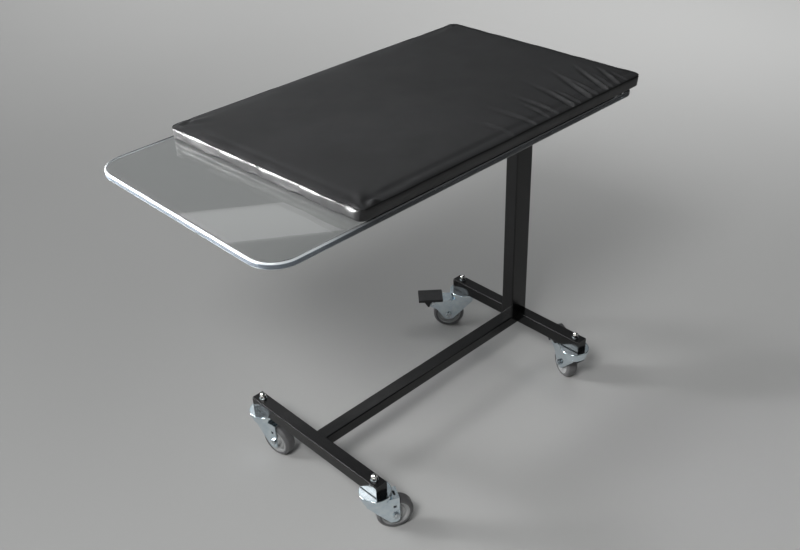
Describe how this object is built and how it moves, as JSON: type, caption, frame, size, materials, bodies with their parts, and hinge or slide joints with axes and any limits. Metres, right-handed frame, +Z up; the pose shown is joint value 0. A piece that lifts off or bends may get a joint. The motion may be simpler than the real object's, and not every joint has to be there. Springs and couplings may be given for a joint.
{
  "type": "overbed table",
  "caption": "Mobile fixed-height cantilever table: clear rounded top with a loose black pad on one column over an I-shaped tube base with swivel casters and foot brakes.",
  "frame": {"origin": "centre of the bounding box at floor level; the pedals at rest push it a little off the table's own middle", "axes": "+X from the open front end of the top towards the column, +Y to the left when facing the column from the open end, +Z up"},
  "size_m": [0.933, 0.5168, 0.7786],
  "materials": {
    "black_powder_coat": "gloss",
    "black_plastic": "satin",
    "stainless_steel": "satin",
    "brass": "satin",
    "clear_acrylic": "gloss",
    "hook_and_loop": "matte",
    "foam": "matte",
    "black_vinyl": "satin",
    "bright_zinc": "satin",
    "zinc_fastener": "satin",
    "nickel_plate": "polished",
    "bearing_steel": "polished",
    "grey_rubber": "satin",
    "grey_nylon": "satin",
    "black_rubber": "matte"
  },
  "bodies": {
    "frame": {"front_crossbar": "black_powder_coat", "rear_crossbar": "black_powder_coat", "crossbar_end_plates": "black_powder_coat", "spine": "black_powder_coat", "column": "black_powder_coat", "column_head_plate": "black_powder_coat", "top_arm": "black_powder_coat", "arm_end_plugs": "black_plastic", "top_cross_plates": "black_powder_coat", "top_screws": "stainless_steel", "threaded_inserts": "brass", "acrylic_top": "clear_acrylic", "hook_strips": "hook_and_loop", "swivel_caps": "bright_zinc", "caster_stems": "bright_zinc", "stem_washers": "bright_zinc", "cap_nuts": "nickel_plate"},
    "pad": {"pad_cover": "black_vinyl", "pad_foam": "foam", "loop_strips": "hook_and_loop"},
    "caster_front_right": {"fork_front_right": "bright_zinc", "race_balls_front_right": "bearing_steel", "axle_bolt_front_right": "zinc_fastener", "axle_nut_front_right": "zinc_fastener"},
    "wheel_front_right": {"tyre_front_right": "grey_rubber", "wheel_core_front_right": "grey_nylon", "wheel_bearing_front_right": "bearing_steel"},
    "caster_front_left": {"fork_front_left": "bright_zinc", "race_balls_front_left": "bearing_steel", "axle_bolt_front_left": "zinc_fastener", "axle_nut_front_left": "zinc_fastener"},
    "wheel_front_left": {"tyre_front_left": "grey_rubber", "wheel_core_front_left": "grey_nylon", "wheel_bearing_front_left": "bearing_steel"},
    "caster_rear_right": {"fork_rear_right": "bright_zinc", "race_balls_rear_right": "bearing_steel", "axle_bolt_rear_right": "zinc_fastener", "axle_nut_rear_right": "zinc_fastener", "pedal_pivot_rear_right": "zinc_fastener"},
    "wheel_rear_right": {"tyre_rear_right": "grey_rubber", "wheel_core_rear_right": "grey_nylon", "wheel_bearing_rear_right": "bearing_steel"},
    "brake_rear_right": {"brake_lever_rear_right": "bright_zinc", "pedal_cover_rear_right": "black_plastic", "brake_shoe_rear_right": "black_rubber"},
    "caster_rear_left": {"fork_rear_left": "bright_zinc", "race_balls_rear_left": "bearing_steel", "axle_bolt_rear_left": "zinc_fastener", "axle_nut_rear_left": "zinc_fastener", "pedal_pivot_rear_left": "zinc_fastener"},
    "wheel_rear_left": {"tyre_rear_left": "grey_rubber", "wheel_core_rear_left": "grey_nylon", "wheel_bearing_rear_left": "bearing_steel"},
    "brake_rear_left": {"brake_lever_rear_left": "bright_zinc", "pedal_cover_rear_left": "black_plastic", "brake_shoe_rear_left": "black_rubber"}
  },
  "joints": [
    {"name": "pad_lift", "type": "slide", "parent": "frame", "child": "pad", "axis": [0, 0, 1], "range_m": [0, 0.15]},
    {"name": "swivel_front_right", "type": "hinge", "parent": "frame", "child": "caster_front_right", "pos_m": [-0.23518, -0.18481, 0.103], "axis": [0, 0, 1], "continuous": true},
    {"name": "roll_front_right", "type": "hinge", "parent": "caster_front_right", "child": "wheel_front_right", "pos_m": [-0.20295, -0.20195, 0.0381], "axis": [0.4695, 0.8829, 0], "continuous": true},
    {"name": "swivel_front_left", "type": "hinge", "parent": "frame", "child": "caster_front_left", "pos_m": [-0.23518, 0.16599, 0.103], "axis": [0, 0, 1], "continuous": true},
    {"name": "roll_front_left", "type": "hinge", "parent": "caster_front_left", "child": "wheel_front_left", "pos_m": [-0.23073, 0.12976, 0.0381], "axis": [0.9925, 0.1219, 0], "continuous": true},
    {"name": "swivel_rear_right", "type": "hinge", "parent": "frame", "child": "caster_rear_right", "pos_m": [0.39622, -0.18481, 0.103], "axis": [0, 0, 1], "continuous": true},
    {"name": "roll_rear_right", "type": "hinge", "parent": "caster_rear_right", "child": "wheel_rear_right", "pos_m": [0.41222, -0.152, 0.0381], "axis": [-0.8988, 0.4384, 0], "continuous": true},
    {"name": "brake_pedal_rear_right", "type": "hinge", "parent": "caster_rear_right", "child": "brake_rear_right", "pos_m": [0.43019, -0.11515, 0.0735], "axis": [-0.8988, 0.4384, 0], "range_deg": [0, 8]},
    {"name": "swivel_rear_left", "type": "hinge", "parent": "frame", "child": "caster_rear_left", "pos_m": [0.39622, 0.16599, 0.103], "axis": [0, 0, 1], "continuous": true},
    {"name": "roll_rear_left", "type": "hinge", "parent": "caster_rear_left", "child": "wheel_rear_left", "pos_m": [0.3691, 0.19041, 0.0381], "axis": [-0.6691, -0.7431, 0], "continuous": true},
    {"name": "brake_pedal_rear_left", "type": "hinge", "parent": "caster_rear_left", "child": "brake_rear_left", "pos_m": [0.33863, 0.21785, 0.0735], "axis": [-0.6691, -0.7431, 0], "range_deg": [0, 8]}
  ]
}
